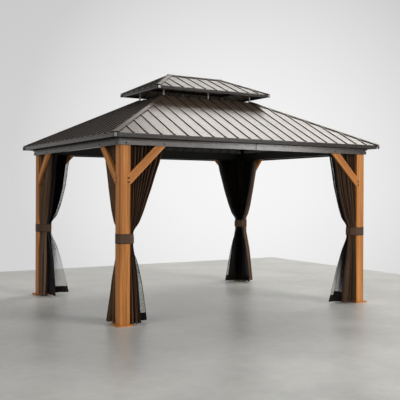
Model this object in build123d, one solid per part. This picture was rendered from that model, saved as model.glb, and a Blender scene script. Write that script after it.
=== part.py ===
"""A 12 by 10 ft hardtop gazebo: four posts, ring beams, knee braces and a two-tier standing-seam roof.

Millimetres. The origin is on the ground under the middle of the roof, +Z is up, X runs along the long
sides, and the front is the side that faces -Y. Curtains and nets hang tied back at every post.
"""

import os
from math import cos, hypot, radians, tan

from build123d import *

# Roof plan and rises
EAVE_LENGTH = 3660.0  # lower roof over its eave trims, along X
EAVE_WIDTH = 3050.0  # the same along Y
EAVE_OVERHANG = 140.0  # from the posts' outer faces out to the eave
EAVE_DROP = 8.0  # top of the lower pans at the eave, below the beam's top
LOWER_RISE = 587.0  # lower pans from the eave up to the vent
VENT_LENGTH = 1310.0  # opening at the top of the lower roof, along X
VENT_WIDTH = 700.0  # the same along Y
VENT_RISE = 91.0  # from the vent's edge up to the top of the upper eave
UPPER_END_OVERHANG = 174.0  # upper eave beyond the vent, along X
UPPER_SIDE_OVERHANG = 192.0  # the same along Y
UPPER_RISE = 225.0  # upper pans from the eave up to the ridge
RIDGE_LENGTH = 780.0

# Roof sheet, seams, caps and trims
SHEET = 1.5
RIB_PITCH = 160.0
RIB_WIDTH = 20.0
RIB_TOP_WIDTH = 13.0
RIB_HEIGHT = 9.0
RIB_EAVE_SETBACK = 8.0
RIB_HEAD_SETBACK = 4.0  # from a seam's upper end to the rim or to the hip's edge of the pan
HIP_GAP = 6.0  # from a pan's edge to the hip line, under the cap
CAP_SHEET = 2.0
CAP_FLANGE = 40.0  # width of a hip cap on each slope
RIDGE_FLANGE = 40.0
RIDGE_LAP = 18.0  # ridge cap beyond the ridge's end, over the hip caps
LOWER_TRIM_HEIGHT = 40.0
UPPER_TRIM_HEIGHT = 30.0
TRIM_WALL = 2.0
TRIM_RETURN = 24.0
BEAD_RADIUS = 6.0  # rolled edge along the top of a trim
BEAD_STEP = 5.0  # top of the trim's face behind the bead
TRIM_RAKE = 12.0  # foot of the face behind its top
CORNER_LEG = 40.0  # eave corner piece along each side
CORNER_BEND = 12.0  # outer radius of an eave corner piece
JOINT_GAP = 0.5  # between pieces that are butted together

# Roof frame
RAFTER_WIDTH = 40.0
RAFTER_HEIGHT = 40.0
CURB_WIDTH = 34.0
CURB_HEIGHT = 40.0
UPPER_CURB_HEIGHT = 28.0
STUB_RADIUS = 11.0

# Posts and feet
POST_SIZE = 118.0
POST_WALL = 2.5
POST_CORNER_RADIUS = 4.0
FOOT_FLANGE = 34.0
FOOT_THICKNESS = 14.0
FOOT_CHAMFER = 3.0
FOOT_HOLE_RADIUS = 6.0
FOOT_HOLE_INSET = 17.0  # from the foot's edge to a hole's centre

# Ring beam: its fascia face has two bands with a groove between them
LIP_HEIGHT = 1880.0  # underside of the lip that hides the post and brace tops
LIP_DROP = 35.0  # lip below the beam's underside
FASCIA_OUT = 20.0  # lower band beyond the posts' outer faces
UPPER_BAND_OUT = 28.0
LOWER_BAND = 41.0
GROOVE_HEIGHT = 9.0
GROOVE_DEPTH = 7.0
UPPER_BAND = 70.0
BEAM_WALL = 3.0
SPLICE_GAP = 8.0  # joint at the middle of each side

# Knee braces
BRACE_FACE = 86.0
BRACE_DEPTH = 30.0
BRACE_WALL = 3.0  # the outer wall laps the post's face
BRACE_LAP = 35.0
BRACE_DROP = 445.0  # from under the beam down to the brace's lowest corner
BRACE_ANGLE = 45.0

# Curtain rails, curtains, nets and tie bands
RAIL_WIDTH = 60.0
RAIL_HEIGHT = 20.0
RAIL_INSET = 91.0  # from the posts' outer faces to the rail's middle
TRACK_SPACING = 34.0
TRACK_WIDTH = 18.0
TRACK_DEPTH = 10.0
TRACK_SLOT = 8.0
TRACK_LIP = 3.0
SEAT_CLEARANCE = 0.3
HEM_HEIGHT = 18.0
CURTAIN_DEPTH = 56.0
CURTAIN_TOP = 345.0  # reach from the post along the rail
CURTAIN_KNEE = 140.0
CURTAIN_WAIST = 60.0
CURTAIN_HEM = 165.0
CLOTH_GAP = 2.0  # between a curtain and its net
NET_DEPTH = 26.0
NET_TOP = 405.0
NET_KNEE = 165.0
NET_WAIST = 62.0
NET_HEM = 250.0
HEM_FLARE_OUT = 80.0  # hem beyond the waist, towards the outside
HEM_FLARE_IN = 14.0
KNEE_RISE = 155.0  # from a band's upper edge to where the bunch widens faster
BAND_HEIGHT = 104.0
BAND_MIDDLE = 903.0  # height of a tie band's middle
BAND_THICKNESS = 3.0

# Values worked out from the sizes above
OVERRUN = EAVE_LENGTH  # longer than any cut needs
POST_HALF_X = EAVE_LENGTH / 2 - EAVE_OVERHANG
POST_HALF_Y = EAVE_WIDTH / 2 - EAVE_OVERHANG
BEAM_SEAT = LIP_HEIGHT + LIP_DROP
BEAM_TOP = LIP_HEIGHT + LOWER_BAND + GROOVE_HEIGHT + UPPER_BAND
EAVE_HEIGHT = BEAM_TOP - EAVE_DROP
VENT_HEIGHT = EAVE_HEIGHT + LOWER_RISE
UPPER_EAVE_HEIGHT = VENT_HEIGHT + VENT_RISE
RIDGE_HEIGHT = UPPER_EAVE_HEIGHT + UPPER_RISE
UPPER_LENGTH = VENT_LENGTH + 2 * UPPER_END_OVERHANG
UPPER_WIDTH = VENT_WIDTH + 2 * UPPER_SIDE_OVERHANG
BRACE_FOOT = BEAM_SEAT - BRACE_DROP
CAP_LIFT = RIB_HEIGHT + CAP_SHEET

SIDES = {"back": 0, "left": 90, "front": 180, "right": 270}
CORNERS = {
    "back_right": (),
    "back_left": (Plane.YZ,),
    "front_right": (Plane.XZ,),
    "front_left": (Plane.YZ, Plane.XZ),
}


# Frames: a side is drawn facing +Y and turned into place, a corner is drawn at +X +Y and mirrored


def is_long(side):
    return side in ("front", "back")


def turned(side, shape):
    return Rot(0, 0, SIDES[side]) * shape


def mirrored(corner, shape):
    for plane in CORNERS[corner]:
        shape = mirror(shape, about=plane)
    return shape


def at_all_corners(shape):
    return [mirrored(corner, shape) for corner in CORNERS]


def post_halves(side):
    """Half the run along the side, and half the span across it, to the posts' outer faces."""
    return (POST_HALF_X, POST_HALF_Y) if is_long(side) else (POST_HALF_Y, POST_HALF_X)


def prism(plane, outline, depth):
    """The outline, drawn in the plane's axes, extruded along the plane's normal."""
    return extrude(plane * outline, amount=depth, dir=plane.z_dir)


def polygon(*points):
    return Polygon(*points, align=None)


def span(x_low, x_high, y_low, y_high):
    return polygon((x_low, y_low), (x_high, y_low), (x_high, y_high), (x_low, y_high))


def profile_run(profile, start, end):
    """A profile of (outward, height) points extruded along a side from start to end."""
    plane = Plane(origin=(start, 0, 0), x_dir=(0, 1, 0), z_dir=(1, 0, 0))
    return prism(plane, profile, end - start)


def bent(outline, corner, radius):
    """The outline with the corner at that point rounded."""
    nearest = outline.vertices().sort_by_distance(Vector(*corner, 0))[0]
    return fillet(nearest, radius)


def block(x_low, x_high, y_low, y_high, z_low, z_high):
    return prism(Plane.XY.offset(z_low), span(x_low, x_high, y_low, y_high), z_high - z_low)


# Posts and feet


def post():
    middle_x = POST_HALF_X - POST_SIZE / 2
    middle_y = POST_HALF_Y - POST_SIZE / 2
    bore = POST_SIZE - 2 * POST_WALL
    section = RectangleRounded(POST_SIZE, POST_SIZE, POST_CORNER_RADIUS) - Rectangle(bore, bore)
    foot_top = Plane.XY.offset(FOOT_THICKNESS)
    return Pos(middle_x, middle_y) * prism(foot_top, section, BEAM_SEAT - FOOT_THICKNESS)


def foot():
    """Square base plate with a bevelled rim and an anchor hole at each corner."""
    size = POST_SIZE + 2 * FOOT_FLANGE
    plate = prism(Plane.XY, Rectangle(size, size), FOOT_THICKNESS)
    plate = chamfer(plate.faces().sort_by(Axis.Z)[-1].edges(), FOOT_CHAMFER)
    spacing = size - 2 * FOOT_HOLE_INSET
    for place in GridLocations(spacing, spacing, 2, 2):
        plate -= place * prism(Plane.XY, Circle(FOOT_HOLE_RADIUS), FOOT_THICKNESS)
    return Pos(POST_HALF_X - POST_SIZE / 2, POST_HALF_Y - POST_SIZE / 2) * plate


# Ring beam


def beam_section(face):
    """The beam's outline in (outward, height), with a hollow box behind the two-band fascia."""
    groove_low = LIP_HEIGHT + LOWER_BAND
    groove_high = groove_low + GROOVE_HEIGHT
    inner = face - POST_SIZE
    outline = polygon(
        (face + BRACE_WALL, LIP_HEIGHT),
        (face + FASCIA_OUT, LIP_HEIGHT),
        (face + FASCIA_OUT, groove_low),
        (face + FASCIA_OUT - GROOVE_DEPTH, groove_low),
        (face + FASCIA_OUT - GROOVE_DEPTH, groove_high),
        (face + UPPER_BAND_OUT, groove_high),
        (face + UPPER_BAND_OUT, BEAM_TOP),
        (inner, BEAM_TOP),
        (inner, BEAM_SEAT),
        (face + BRACE_WALL, BEAM_SEAT),
    )
    hollow = span(
        inner + BEAM_WALL,
        face + FASCIA_OUT - GROOVE_DEPTH - BEAM_WALL,
        BEAM_SEAT + BEAM_WALL,
        BEAM_TOP - BEAM_WALL,
    )
    return outline - hollow


def beam_half(side):
    """Half of a side's beam, from the splice to the mitre at the corner."""
    run, face = post_halves(side)
    outer = UPPER_BAND_OUT
    inner = -POST_SIZE
    bar = profile_run(beam_section(face), SPLICE_GAP / 2, run + outer)
    mitred_plan = polygon(
        (SPLICE_GAP / 2, face + inner),
        (run + inner, face + inner),
        (run + outer, face + outer),
        (SPLICE_GAP / 2, face + outer),
    )
    return bar & prism(Plane.XY, mitred_plan, OVERRUN)


def beam(side):
    half = beam_half(side)
    return [half, mirror(half, about=Plane.YZ)]


# Knee braces


def brace_outline(near, rise, margin, low):
    """A raking bar between its lower and upper edges, cut level at the foot and under the beam."""
    slope = tan(radians(BRACE_ANGLE))
    edge = margin / cos(radians(BRACE_ANGLE))
    lower = low + edge
    upper = low + rise - edge
    return polygon(
        (near + BRACE_LAP, lower),
        (near + BRACE_LAP, upper - BRACE_LAP * slope),
        (near - (BEAM_SEAT - upper) / slope, BEAM_SEAT),
        (near - (BEAM_SEAT - lower) / slope, BEAM_SEAT),
        (near, lower),
    )


def brace(side):
    """Box-section brace: the inside is notched round the post, and the outer wall laps its face."""
    run, face = post_halves(side)
    near = run - POST_SIZE
    rise = BRACE_FACE / cos(radians(BRACE_ANGLE))
    outer_plane = Plane(origin=(0, face + BRACE_WALL, 0), x_dir=(1, 0, 0), z_dir=(0, -1, 0))
    inner_plane = Plane(origin=(0, face, 0), x_dir=(1, 0, 0), z_dir=(0, -1, 0))
    bar = prism(outer_plane, brace_outline(near, rise, 0, BRACE_FOOT), BRACE_DEPTH)
    hollow = prism(
        inner_plane,
        brace_outline(near, rise, BRACE_WALL, BRACE_FOOT),
        BRACE_DEPTH - 2 * BRACE_WALL,
    )
    behind_post = block(near, run, face - BRACE_DEPTH, face, 0, BEAM_SEAT)
    one = bar - hollow - behind_post
    return [one, mirror(one, about=Plane.YZ)]


# Roof tiers


class Slope:
    """One side of a hipped tier, in the frame of a side that faces +Y."""

    def __init__(self, eave_run, eave_out, eave_z, rim_run, rim_out, rim_z):
        self.eave_run = eave_run
        self.eave_out = eave_out
        self.rim_run = rim_run
        self.inset = eave_out - rim_out
        self.rise = rim_z - eave_z
        self.length = hypot(self.inset, self.rise)
        self.up = Vector(0, -self.inset, self.rise).normalized()
        self.normal = Vector(0, self.rise, self.inset).normalized()
        self.plane = Plane(origin=(0, eave_out, eave_z), x_dir=(-1, 0, 0), z_dir=self.normal)
        self.hip_length = hypot(eave_run - rim_run, self.length)
        # Width along the eave that goes with one unit of width square to the hip
        self.spread = self.hip_length / self.length
        # Vertical depth of the sheet
        self.sheet_drop = SHEET * self.length / self.inset

    def hip_x(self, y, setback=0.0):
        """Where the hip line, set back square to itself, lies at a distance up the slope."""
        edge = self.eave_run - (self.eave_run - self.rim_run) * y / self.length
        return edge - setback * self.spread

    def hip_y(self, x, setback=0.0):
        """The distance up the slope at which the set-back hip line crosses x."""
        reach = self.eave_run - setback * self.spread - x
        return reach * self.length / (self.eave_run - self.rim_run)

    def lifted(self, height):
        return self.plane.offset(height)


class Tier:
    """A hipped roof tier: its four slopes, its eave corner and its rim corner."""

    def __init__(self, eave, eave_z, rim, rim_z, trim_height):
        self.long = Slope(eave[0], eave[1], eave_z, rim[0], rim[1], rim_z)
        self.short = Slope(eave[1], eave[0], eave_z, rim[1], rim[0], rim_z)
        self.trim_height = trim_height
        self.has_ridge = rim[1] == 0
        self.eave_corner = Vector(eave[0], eave[1], eave_z)
        self.rim_corner = Vector(rim[0], rim[1], rim_z)
        # The outward normals of the two slopes that meet at the +X +Y hip
        self.normals = (
            self.long.normal,
            Vector(self.short.normal.Y, self.short.normal.X, self.short.normal.Z),
        )
        self.sheet_drop = max(self.long.sheet_drop, self.short.sheet_drop)

    def slope(self, side):
        return self.long if is_long(side) else self.short


LOWER = Tier(
    (EAVE_LENGTH / 2, EAVE_WIDTH / 2),
    EAVE_HEIGHT,
    (VENT_LENGTH / 2, VENT_WIDTH / 2),
    VENT_HEIGHT,
    LOWER_TRIM_HEIGHT,
)
UPPER = Tier(
    (UPPER_LENGTH / 2, UPPER_WIDTH / 2),
    UPPER_EAVE_HEIGHT,
    (RIDGE_LENGTH / 2, 0),
    RIDGE_HEIGHT,
    UPPER_TRIM_HEIGHT,
)


def seam_section(wall, base):
    """Outline of a standing seam, inside its wall, down to a base level below the pan's top."""
    foot, head = RIB_WIDTH / 2 - wall, RIB_TOP_WIDTH / 2 - wall
    top = RIB_HEIGHT - wall
    return polygon((-foot, base), (foot, base), (foot, 0), (head, top), (-head, top), (-foot, 0))


def pan(tier, side):
    """A slope's sheet with its standing seams, stopped short of the hips under the caps."""
    slope = tier.slope(side)
    top = slope.length - (HIP_GAP if tier.has_ridge else 0)
    foot_x = slope.hip_x(0, HIP_GAP)
    head_x = slope.hip_x(top, HIP_GAP)
    if head_x > 0:
        outline = polygon((-foot_x, 0), (foot_x, 0), (head_x, top), (-head_x, top))
    else:
        outline = polygon((-foot_x, 0), (foot_x, 0), (0, slope.hip_y(0, HIP_GAP)))
    sheet = prism(slope.plane, outline, -SHEET)
    seam = seam_section(0, -SHEET / 2)
    # The seam is folded from the sheet, so it is open below
    fold = seam_section(SHEET, -2 * SHEET)
    count = int(slope.eave_run // RIB_PITCH)
    for index in range(-count, count + 1):
        x = index * RIB_PITCH
        hip_end = slope.hip_y(abs(x) + RIB_WIDTH / 2, HIP_GAP + RIB_HEAD_SETBACK)
        end = min(top - RIB_HEAD_SETBACK, hip_end)
        if end - RIB_EAVE_SETBACK < RIB_WIDTH:
            continue
        length = end - RIB_EAVE_SETBACK
        start = slope.plane.from_local_coords(Vector(x, RIB_EAVE_SETBACK, 0))
        across = Plane(origin=start, x_dir=-slope.plane.x_dir, z_dir=slope.up)
        sheet += prism(across, seam, length)
        sheet -= prism(across.offset(SHEET), fold, length - 2 * SHEET)
    return turned(side, sheet)


def hip_flange(slope, shift, toward_minus_x):
    """One leg of a hip cap, on top of the seams, from the eave to the rim."""
    # Lifted off the pan, the leg starts this far up the slope to end flush with the eave
    start = CAP_LIFT * slope.rise / slope.inset
    outer_foot = slope.hip_x(start, -shift)
    outer_head = slope.hip_x(slope.length, -shift)
    inner_foot = slope.hip_x(start, CAP_FLANGE)
    inner_head = slope.hip_x(slope.length, CAP_FLANGE)
    seam = JOINT_GAP
    if inner_head > seam:
        corners = [
            (outer_foot, start),
            (outer_head, slope.length),
            (inner_head, slope.length),
            (inner_foot, start),
        ]
    else:
        corners = [
            (outer_foot, start),
            (seam, slope.hip_y(seam, -shift)),
            (seam, slope.hip_y(seam, CAP_FLANGE)),
            (inner_foot, start),
        ]
    # The slope's own x axis points to -X
    sign = 1 if toward_minus_x else -1
    outline = polygon(*[(sign * x, y) for x, y in corners])
    return prism(slope.lifted(CAP_LIFT), outline, -CAP_SHEET)


def lifted_shift(normals, lift):
    """How far out the meeting line of two planes moves when both are lifted off the pans."""
    return lift * tan(radians(normals[0].get_angle(normals[1])) / 2)


def hip_cap(tier):
    """Folded cap over the +X +Y hip: one leg on the back slope and one on the right slope."""
    shift = lifted_shift(tier.normals, CAP_LIFT)
    on_back = turned("back", hip_flange(tier.long, shift, False))
    on_right = turned("right", hip_flange(tier.short, shift, True))
    return on_back + on_right


def ridge_cap():
    """Folded cap along the ridge, lying on the hip caps' upper ends."""
    slope = UPPER.long
    lift = CAP_LIFT + CAP_SHEET
    opposite = Vector(0, -slope.normal.Y, slope.normal.Z)
    crest = slope.length + lifted_shift((slope.normal, opposite), lift)
    half = slope.rim_run + RIDGE_LAP
    leg = prism(slope.lifted(lift), span(-half, half, slope.length - RIDGE_FLANGE, crest), -CAP_SHEET)
    return leg + mirror(leg, about=Plane.XZ)


def eave_trim(tier, side):
    """Trim under a slope's edge: a rolled bead, a face that leans in below it and a return at its foot."""
    slope = tier.slope(side)
    top = slope.plane.origin.Z - slope.sheet_drop
    low = top - tier.trim_height
    edge = slope.eave_out
    face = edge - BEAD_STEP
    # Behind the eave's edge the pan is higher, and the face reaches up to it
    seat = top + BEAD_STEP * slope.rise / slope.inset
    half = slope.eave_run - CORNER_LEG - JOINT_GAP
    section = polygon(
        (face - TRIM_RAKE, low),
        (face, seat),
        (face - TRIM_WALL, seat),
        (face - TRIM_RAKE - TRIM_WALL, low + TRIM_WALL),
        (edge - TRIM_RETURN, low + TRIM_WALL),
        (edge - TRIM_RETURN, low),
    )
    section += Pos(edge - BEAD_RADIUS, top - BEAD_RADIUS) * Circle(BEAD_RADIUS)
    return turned(side, profile_run(section, -half, half))


def eave_corner(tier):
    """Corner piece that joins two eave trims."""
    corner = tier.eave_corner
    top = corner.Z - tier.sheet_drop
    low = top - tier.trim_height
    inner = (corner.X - TRIM_WALL, corner.Y - TRIM_WALL)

    def angle(leg, width):
        outline = polygon(
            (corner.X, corner.Y),
            (corner.X - leg, corner.Y),
            (corner.X - leg, corner.Y - width),
            (corner.X - width, corner.Y - width),
            (corner.X - width, corner.Y - leg),
            (corner.X, corner.Y - leg),
        )
        return bent(outline, (corner.X, corner.Y), CORNER_BEND)

    face = prism(Plane.XY.offset(low), bent(angle(CORNER_LEG, TRIM_WALL), inner, CORNER_BEND - TRIM_WALL),
                 tier.trim_height)
    sole = prism(Plane.XY.offset(low), angle(CORNER_LEG, TRIM_RETURN), TRIM_WALL)
    return face + sole


# Roof frame


def curb_top(tier):
    """The highest level at which a curb under the vent's edge clears the tier's pans."""
    levels = []
    for slope, edge in ((tier.long, VENT_WIDTH / 2), (tier.short, VENT_LENGTH / 2)):
        climb = (slope.eave_out - edge) * slope.rise / slope.inset
        levels.append(slope.plane.origin.Z + climb - slope.sheet_drop)
    return min(levels) - SEAT_CLEARANCE


LOWER_CURB_TOP = curb_top(LOWER)
UPPER_CURB_TOP = curb_top(UPPER)


def curb_bars(top, height):
    """Four bars of a rectangular curb round the vent, mitred at the corners."""
    bars = []
    for side in SIDES:
        run, edge = VENT_LENGTH / 2, VENT_WIDTH / 2
        if not is_long(side):
            run, edge = edge, run
        outer = run - JOINT_GAP
        inner = run - CURB_WIDTH - JOINT_GAP
        plan = polygon(
            (-outer, edge),
            (outer, edge),
            (inner, edge - CURB_WIDTH),
            (-inner, edge - CURB_WIDTH),
        )
        bars.append(turned(side, prism(Plane.XY.offset(top - height), plan, height)))
    return bars


def between_beam_and_curb(bar):
    """Cuts a rafter to sit on the beam's top and stop at the curb."""
    reach_x = POST_HALF_X + FASCIA_OUT
    reach_y = POST_HALF_Y + FASCIA_OUT
    over_beam = block(-reach_x, reach_x, -reach_y, reach_y, BEAM_TOP, VENT_HEIGHT)
    curb = block(-VENT_LENGTH / 2, VENT_LENGTH / 2, -VENT_WIDTH / 2, VENT_WIDTH / 2, 0, OVERRUN)
    return (bar & over_beam) - curb


def hip_rafter():
    """Box rafter under the +X +Y hip, as high as both pans allow."""
    along = LOWER.rim_corner - LOWER.eave_corner
    length = along.length
    along = along.normalized()
    across = along.cross(Vector(0, 0, 1)).normalized()
    up = across.cross(along)
    drops = [
        (SHEET + abs(normal.dot(across)) * RAFTER_WIDTH / 2) / normal.dot(up)
        for normal in LOWER.normals
    ]
    drop = max(drops) + SEAT_CLEARANCE
    section = span(-RAFTER_WIDTH / 2, RAFTER_WIDTH / 2, -drop - RAFTER_HEIGHT, -drop)
    plane = Plane(origin=LOWER.eave_corner, x_dir=along.cross(up) * -1, z_dir=along)
    return between_beam_and_curb(prism(plane, section, length))


def centre_rafter(side):
    """Rafter up the middle of a slope, from the beam's splice to the curb."""
    slope = LOWER.slope(side)
    top = slope.lifted(-SHEET - SEAT_CLEARANCE)
    strip = span(-RAFTER_WIDTH / 2, RAFTER_WIDTH / 2, 0, slope.length)
    return between_beam_and_curb(turned(side, prism(top, strip, -RAFTER_HEIGHT)))


def stub_posts():
    """Short posts that carry the upper curb: one at each corner and one on each long side."""
    bottom = LOWER_CURB_TOP
    height = UPPER_CURB_TOP - UPPER_CURB_HEIGHT - bottom
    x = VENT_LENGTH / 2 - CURB_WIDTH / 2
    y = VENT_WIDTH / 2 - CURB_WIDTH / 2
    stub = prism(Plane.XY.offset(bottom), Circle(STUB_RADIUS), height)
    return [Pos(place * x, side * y) * stub for place in (-1, 0, 1) for side in (-1, 1)]


# Curtain rails, curtains, nets and tie bands


def rail(side):
    """Double track under the beam: two slotted channels, the outer one for the curtain."""
    run, face = post_halves(side)
    middle = face - RAIL_INSET
    low = BEAM_SEAT - RAIL_HEIGHT
    section = span(middle - RAIL_WIDTH / 2, middle + RAIL_WIDTH / 2, low, BEAM_SEAT)
    for track in (middle - TRACK_SPACING / 2, middle + TRACK_SPACING / 2):
        section -= span(track - TRACK_SLOT / 2, track + TRACK_SLOT / 2, low, low + TRACK_LIP)
        section -= span(
            track - TRACK_WIDTH / 2,
            track + TRACK_WIDTH / 2,
            low + TRACK_LIP,
            low + TRACK_LIP + TRACK_DEPTH,
        )
    half = run - POST_SIZE - SEAT_CLEARANCE
    return turned(side, profile_run(section, -half, half))


CLOTH_TOP = BEAM_SEAT - RAIL_HEIGHT - SEAT_CLEARANCE
BAND_LOW = BAND_MIDDLE - BAND_HEIGHT / 2
BAND_HIGH = BAND_MIDDLE + BAND_HEIGHT / 2
KNEE_HEIGHT = BAND_HIGH + KNEE_RISE
CURTAIN_SETBACK = RAIL_INSET - TRACK_SPACING / 2 - CURTAIN_DEPTH / 2
CURTAIN_BACK = CURTAIN_SETBACK + CURTAIN_DEPTH
NET_SETBACK = CURTAIN_BACK + CLOTH_GAP
NET_BACK = NET_SETBACK + NET_DEPTH


def bunch(near, setback, back, reaches, flare_out):
    """A tied-back panel beside a post: the shape whose front and end views are its two outlines.

    Measured inwards from the post's outer corner: wide at the rail, a waist at the band, a flared hem.
    """
    top, knee, waist, hem = reaches
    front_view = polygon(
        (near, CLOTH_TOP),
        (POST_SIZE + top, CLOTH_TOP),
        (POST_SIZE + knee, KNEE_HEIGHT),
        (POST_SIZE + waist, BAND_HIGH),
        (POST_SIZE + waist, BAND_LOW),
        (POST_SIZE + hem, HEM_HEIGHT),
        (near, HEM_HEIGHT),
    )
    end_view = polygon(
        (setback, CLOTH_TOP),
        (setback, BAND_LOW),
        (setback - flare_out, HEM_HEIGHT),
        (back + HEM_FLARE_IN, HEM_HEIGHT),
        (back, BAND_LOW),
        (back, CLOTH_TOP),
    )
    front_plane = Plane(origin=(0, OVERRUN, 0), x_dir=(1, 0, 0), z_dir=(0, -1, 0))
    seen_from_front = prism(front_plane, front_view, 2 * OVERRUN)
    seen_from_end = profile_run(end_view, 0, OVERRUN)
    return seen_from_front & seen_from_end


def corner_pair(shape):
    """The two panels that meet at a post, one on the back side and one on the right side."""
    half_turn = Rot(0, 0, 180) * shape
    on_back = Pos(POST_HALF_X, POST_HALF_Y) * half_turn
    on_right = Pos(POST_HALF_Y, POST_HALF_X) * half_turn
    return [on_back, Rot(0, 0, 90) * mirror(on_right, about=Plane.XZ)]


def curtains():
    reaches = (CURTAIN_TOP, CURTAIN_KNEE, CURTAIN_WAIST, CURTAIN_HEM)
    near = POST_SIZE + SEAT_CLEARANCE
    return corner_pair(bunch(near, CURTAIN_SETBACK, CURTAIN_BACK, reaches, HEM_FLARE_OUT))


def nets():
    """The nets start clear of each other where their inner faces would cross."""
    reaches = (NET_TOP, NET_KNEE, NET_WAIST, NET_HEM)
    near = NET_BACK + HEM_FLARE_IN + CLOTH_GAP
    return corner_pair(bunch(near, NET_SETBACK, NET_BACK, reaches, -HEM_FLARE_IN))


def tie_band():
    """Cloth band stretched round the post and the two gathered panels."""
    waist = POST_SIZE + SEAT_CLEARANCE + max(CURTAIN_WAIST, NET_WAIST)
    corners = [
        (0, 0),
        (POST_SIZE, 0),
        (waist, CURTAIN_SETBACK),
        (waist, NET_BACK),
        (NET_BACK, waist),
        (CURTAIN_SETBACK, waist),
        (0, POST_SIZE),
    ]
    hull = polygon(*[(POST_HALF_X - a, POST_HALF_Y - b) for a, b in corners])
    ring = offset(hull, SEAT_CLEARANCE + BAND_THICKNESS, kind=Kind.INTERSECTION)
    ring -= offset(hull, SEAT_CLEARANCE, kind=Kind.INTERSECTION)
    return prism(Plane.XY.offset(BAND_LOW), ring, BAND_HEIGHT)


# Assembly: one file for each node


def assembly():
    nodes = {}
    post_solid = post()
    band = tie_band()
    curtain_pair = curtains()
    net_pair = nets()
    for corner in CORNERS:
        nodes[f"{corner}_post"] = [mirrored(corner, post_solid)]
        nodes[f"{corner}_curtains"] = [mirrored(corner, panel) for panel in curtain_pair]
        nodes[f"{corner}_nets"] = [mirrored(corner, panel) for panel in net_pair]
        nodes[f"{corner}_tie_band"] = [mirrored(corner, band)]
    for side in SIDES:
        nodes[f"{side}_beam"] = [turned(side, half) for half in beam(side)]
        nodes[f"{side}_braces"] = [turned(side, one) for one in brace(side)]
        nodes[f"{side}_lower_roof"] = [pan(LOWER, side)]
        nodes[f"{side}_upper_roof"] = [pan(UPPER, side)]
    nodes["foot_plates"] = at_all_corners(foot())
    nodes["curtain_rails"] = [rail(side) for side in SIDES]
    nodes["hip_rafters"] = at_all_corners(hip_rafter())
    nodes["centre_rafters"] = [centre_rafter(side) for side in SIDES]
    nodes["lower_curb"] = curb_bars(LOWER_CURB_TOP, CURB_HEIGHT)
    nodes["upper_curb"] = curb_bars(UPPER_CURB_TOP, UPPER_CURB_HEIGHT)
    nodes["stub_posts"] = stub_posts()
    for name, tier in (("lower", LOWER), ("upper", UPPER)):
        nodes[f"{name}_hip_caps"] = at_all_corners(hip_cap(tier))
        nodes[f"{name}_eave_trims"] = [eave_trim(tier, side) for side in SIDES]
        nodes[f"{name}_eave_corners"] = at_all_corners(eave_corner(tier))
    nodes["ridge_cap"] = [ridge_cap()]
    return nodes


def main():
    os.makedirs("parts", exist_ok=True)
    for name, shapes in assembly().items():
        solids = [solid for shape in shapes for solid in shape.solids()]
        export_step(Compound(solids), f"parts/{name}.step")


main()
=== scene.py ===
# %% [markdown]
# # A hardtop gazebo, dressed around its CAD model
# The posts, beams, braces and the two-tier roof come in as finished solids. This lesson gives them their
# coatings, hangs the curtains and nets as real cloth, and sets up the studio that they are seen in.

# %% Load the CAD model
import math

import bmesh
import bpy
import numpy as np
from mathutils import Matrix, Quaternion, Vector


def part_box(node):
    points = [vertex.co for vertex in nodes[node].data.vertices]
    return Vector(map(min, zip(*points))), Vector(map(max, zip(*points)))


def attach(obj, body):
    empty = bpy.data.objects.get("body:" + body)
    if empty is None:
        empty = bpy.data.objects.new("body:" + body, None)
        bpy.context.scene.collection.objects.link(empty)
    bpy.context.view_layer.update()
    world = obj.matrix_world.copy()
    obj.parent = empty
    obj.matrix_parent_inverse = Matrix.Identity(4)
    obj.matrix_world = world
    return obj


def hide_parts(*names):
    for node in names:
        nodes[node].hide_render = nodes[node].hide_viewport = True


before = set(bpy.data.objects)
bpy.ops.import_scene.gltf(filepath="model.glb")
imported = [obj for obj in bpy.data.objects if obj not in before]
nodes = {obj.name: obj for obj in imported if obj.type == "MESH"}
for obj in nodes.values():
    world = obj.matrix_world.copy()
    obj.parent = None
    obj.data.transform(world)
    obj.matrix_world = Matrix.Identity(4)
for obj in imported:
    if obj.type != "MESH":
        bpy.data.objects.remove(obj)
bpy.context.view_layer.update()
scene = bpy.context.scene
scene.view_settings.view_transform = "Standard"

# %% [markdown]
# ## Camera
# The picture was taken from eye height, a little to the left of the front, with a longish lens. A camera
# could be placed by eye and nudged, but straight edges of known size fix it much better: its place, turn
# and lens were worked out from the posts' and eaves' corners. The shift stands in for a cropped frame.

# %% Camera
CAMERA_PLACE = Vector((-4.7585, -8.2112, 1.3884))
CAMERA_YAW, CAMERA_PITCH, CAMERA_ROLL = 0.5514, -0.0031, 0.0041
CAMERA_LENS = 64.86
CAMERA_SHIFT = (-0.0337, -0.0131)


def camera_turn(yaw, pitch, roll):
    """The camera's axes from its heading, tilt and roll, as a matrix."""
    forward = Vector((math.sin(yaw) * math.cos(pitch), math.cos(yaw) * math.cos(pitch), math.sin(pitch)))
    right = Vector((math.cos(yaw), -math.sin(yaw), 0))
    up = right.cross(forward)
    rolled_right = right * math.cos(roll) + up * math.sin(roll)
    rolled_up = up * math.cos(roll) - right * math.sin(roll)
    return Matrix((rolled_right, rolled_up, -forward)).transposed().to_4x4()


camera = bpy.data.objects.new("camera", bpy.data.cameras.new("camera"))
scene.collection.objects.link(camera)
camera.matrix_world = Matrix.Translation(CAMERA_PLACE) @ camera_turn(CAMERA_YAW, CAMERA_PITCH, CAMERA_ROLL)
camera.data.lens = CAMERA_LENS
camera.data.shift_x, camera.data.shift_y = CAMERA_SHIFT
scene.camera = camera
print("camera", [round(x, 2) for x in camera.location])

# %% [markdown]
# ## Helpers for materials
# A finish is a small node tree round one Principled shader. Writing every node by hand for every finish
# would repeat a lot, so a short class keeps a tree and adds nodes in one line each. The world at the end of
# the lesson uses the same class.

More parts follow.
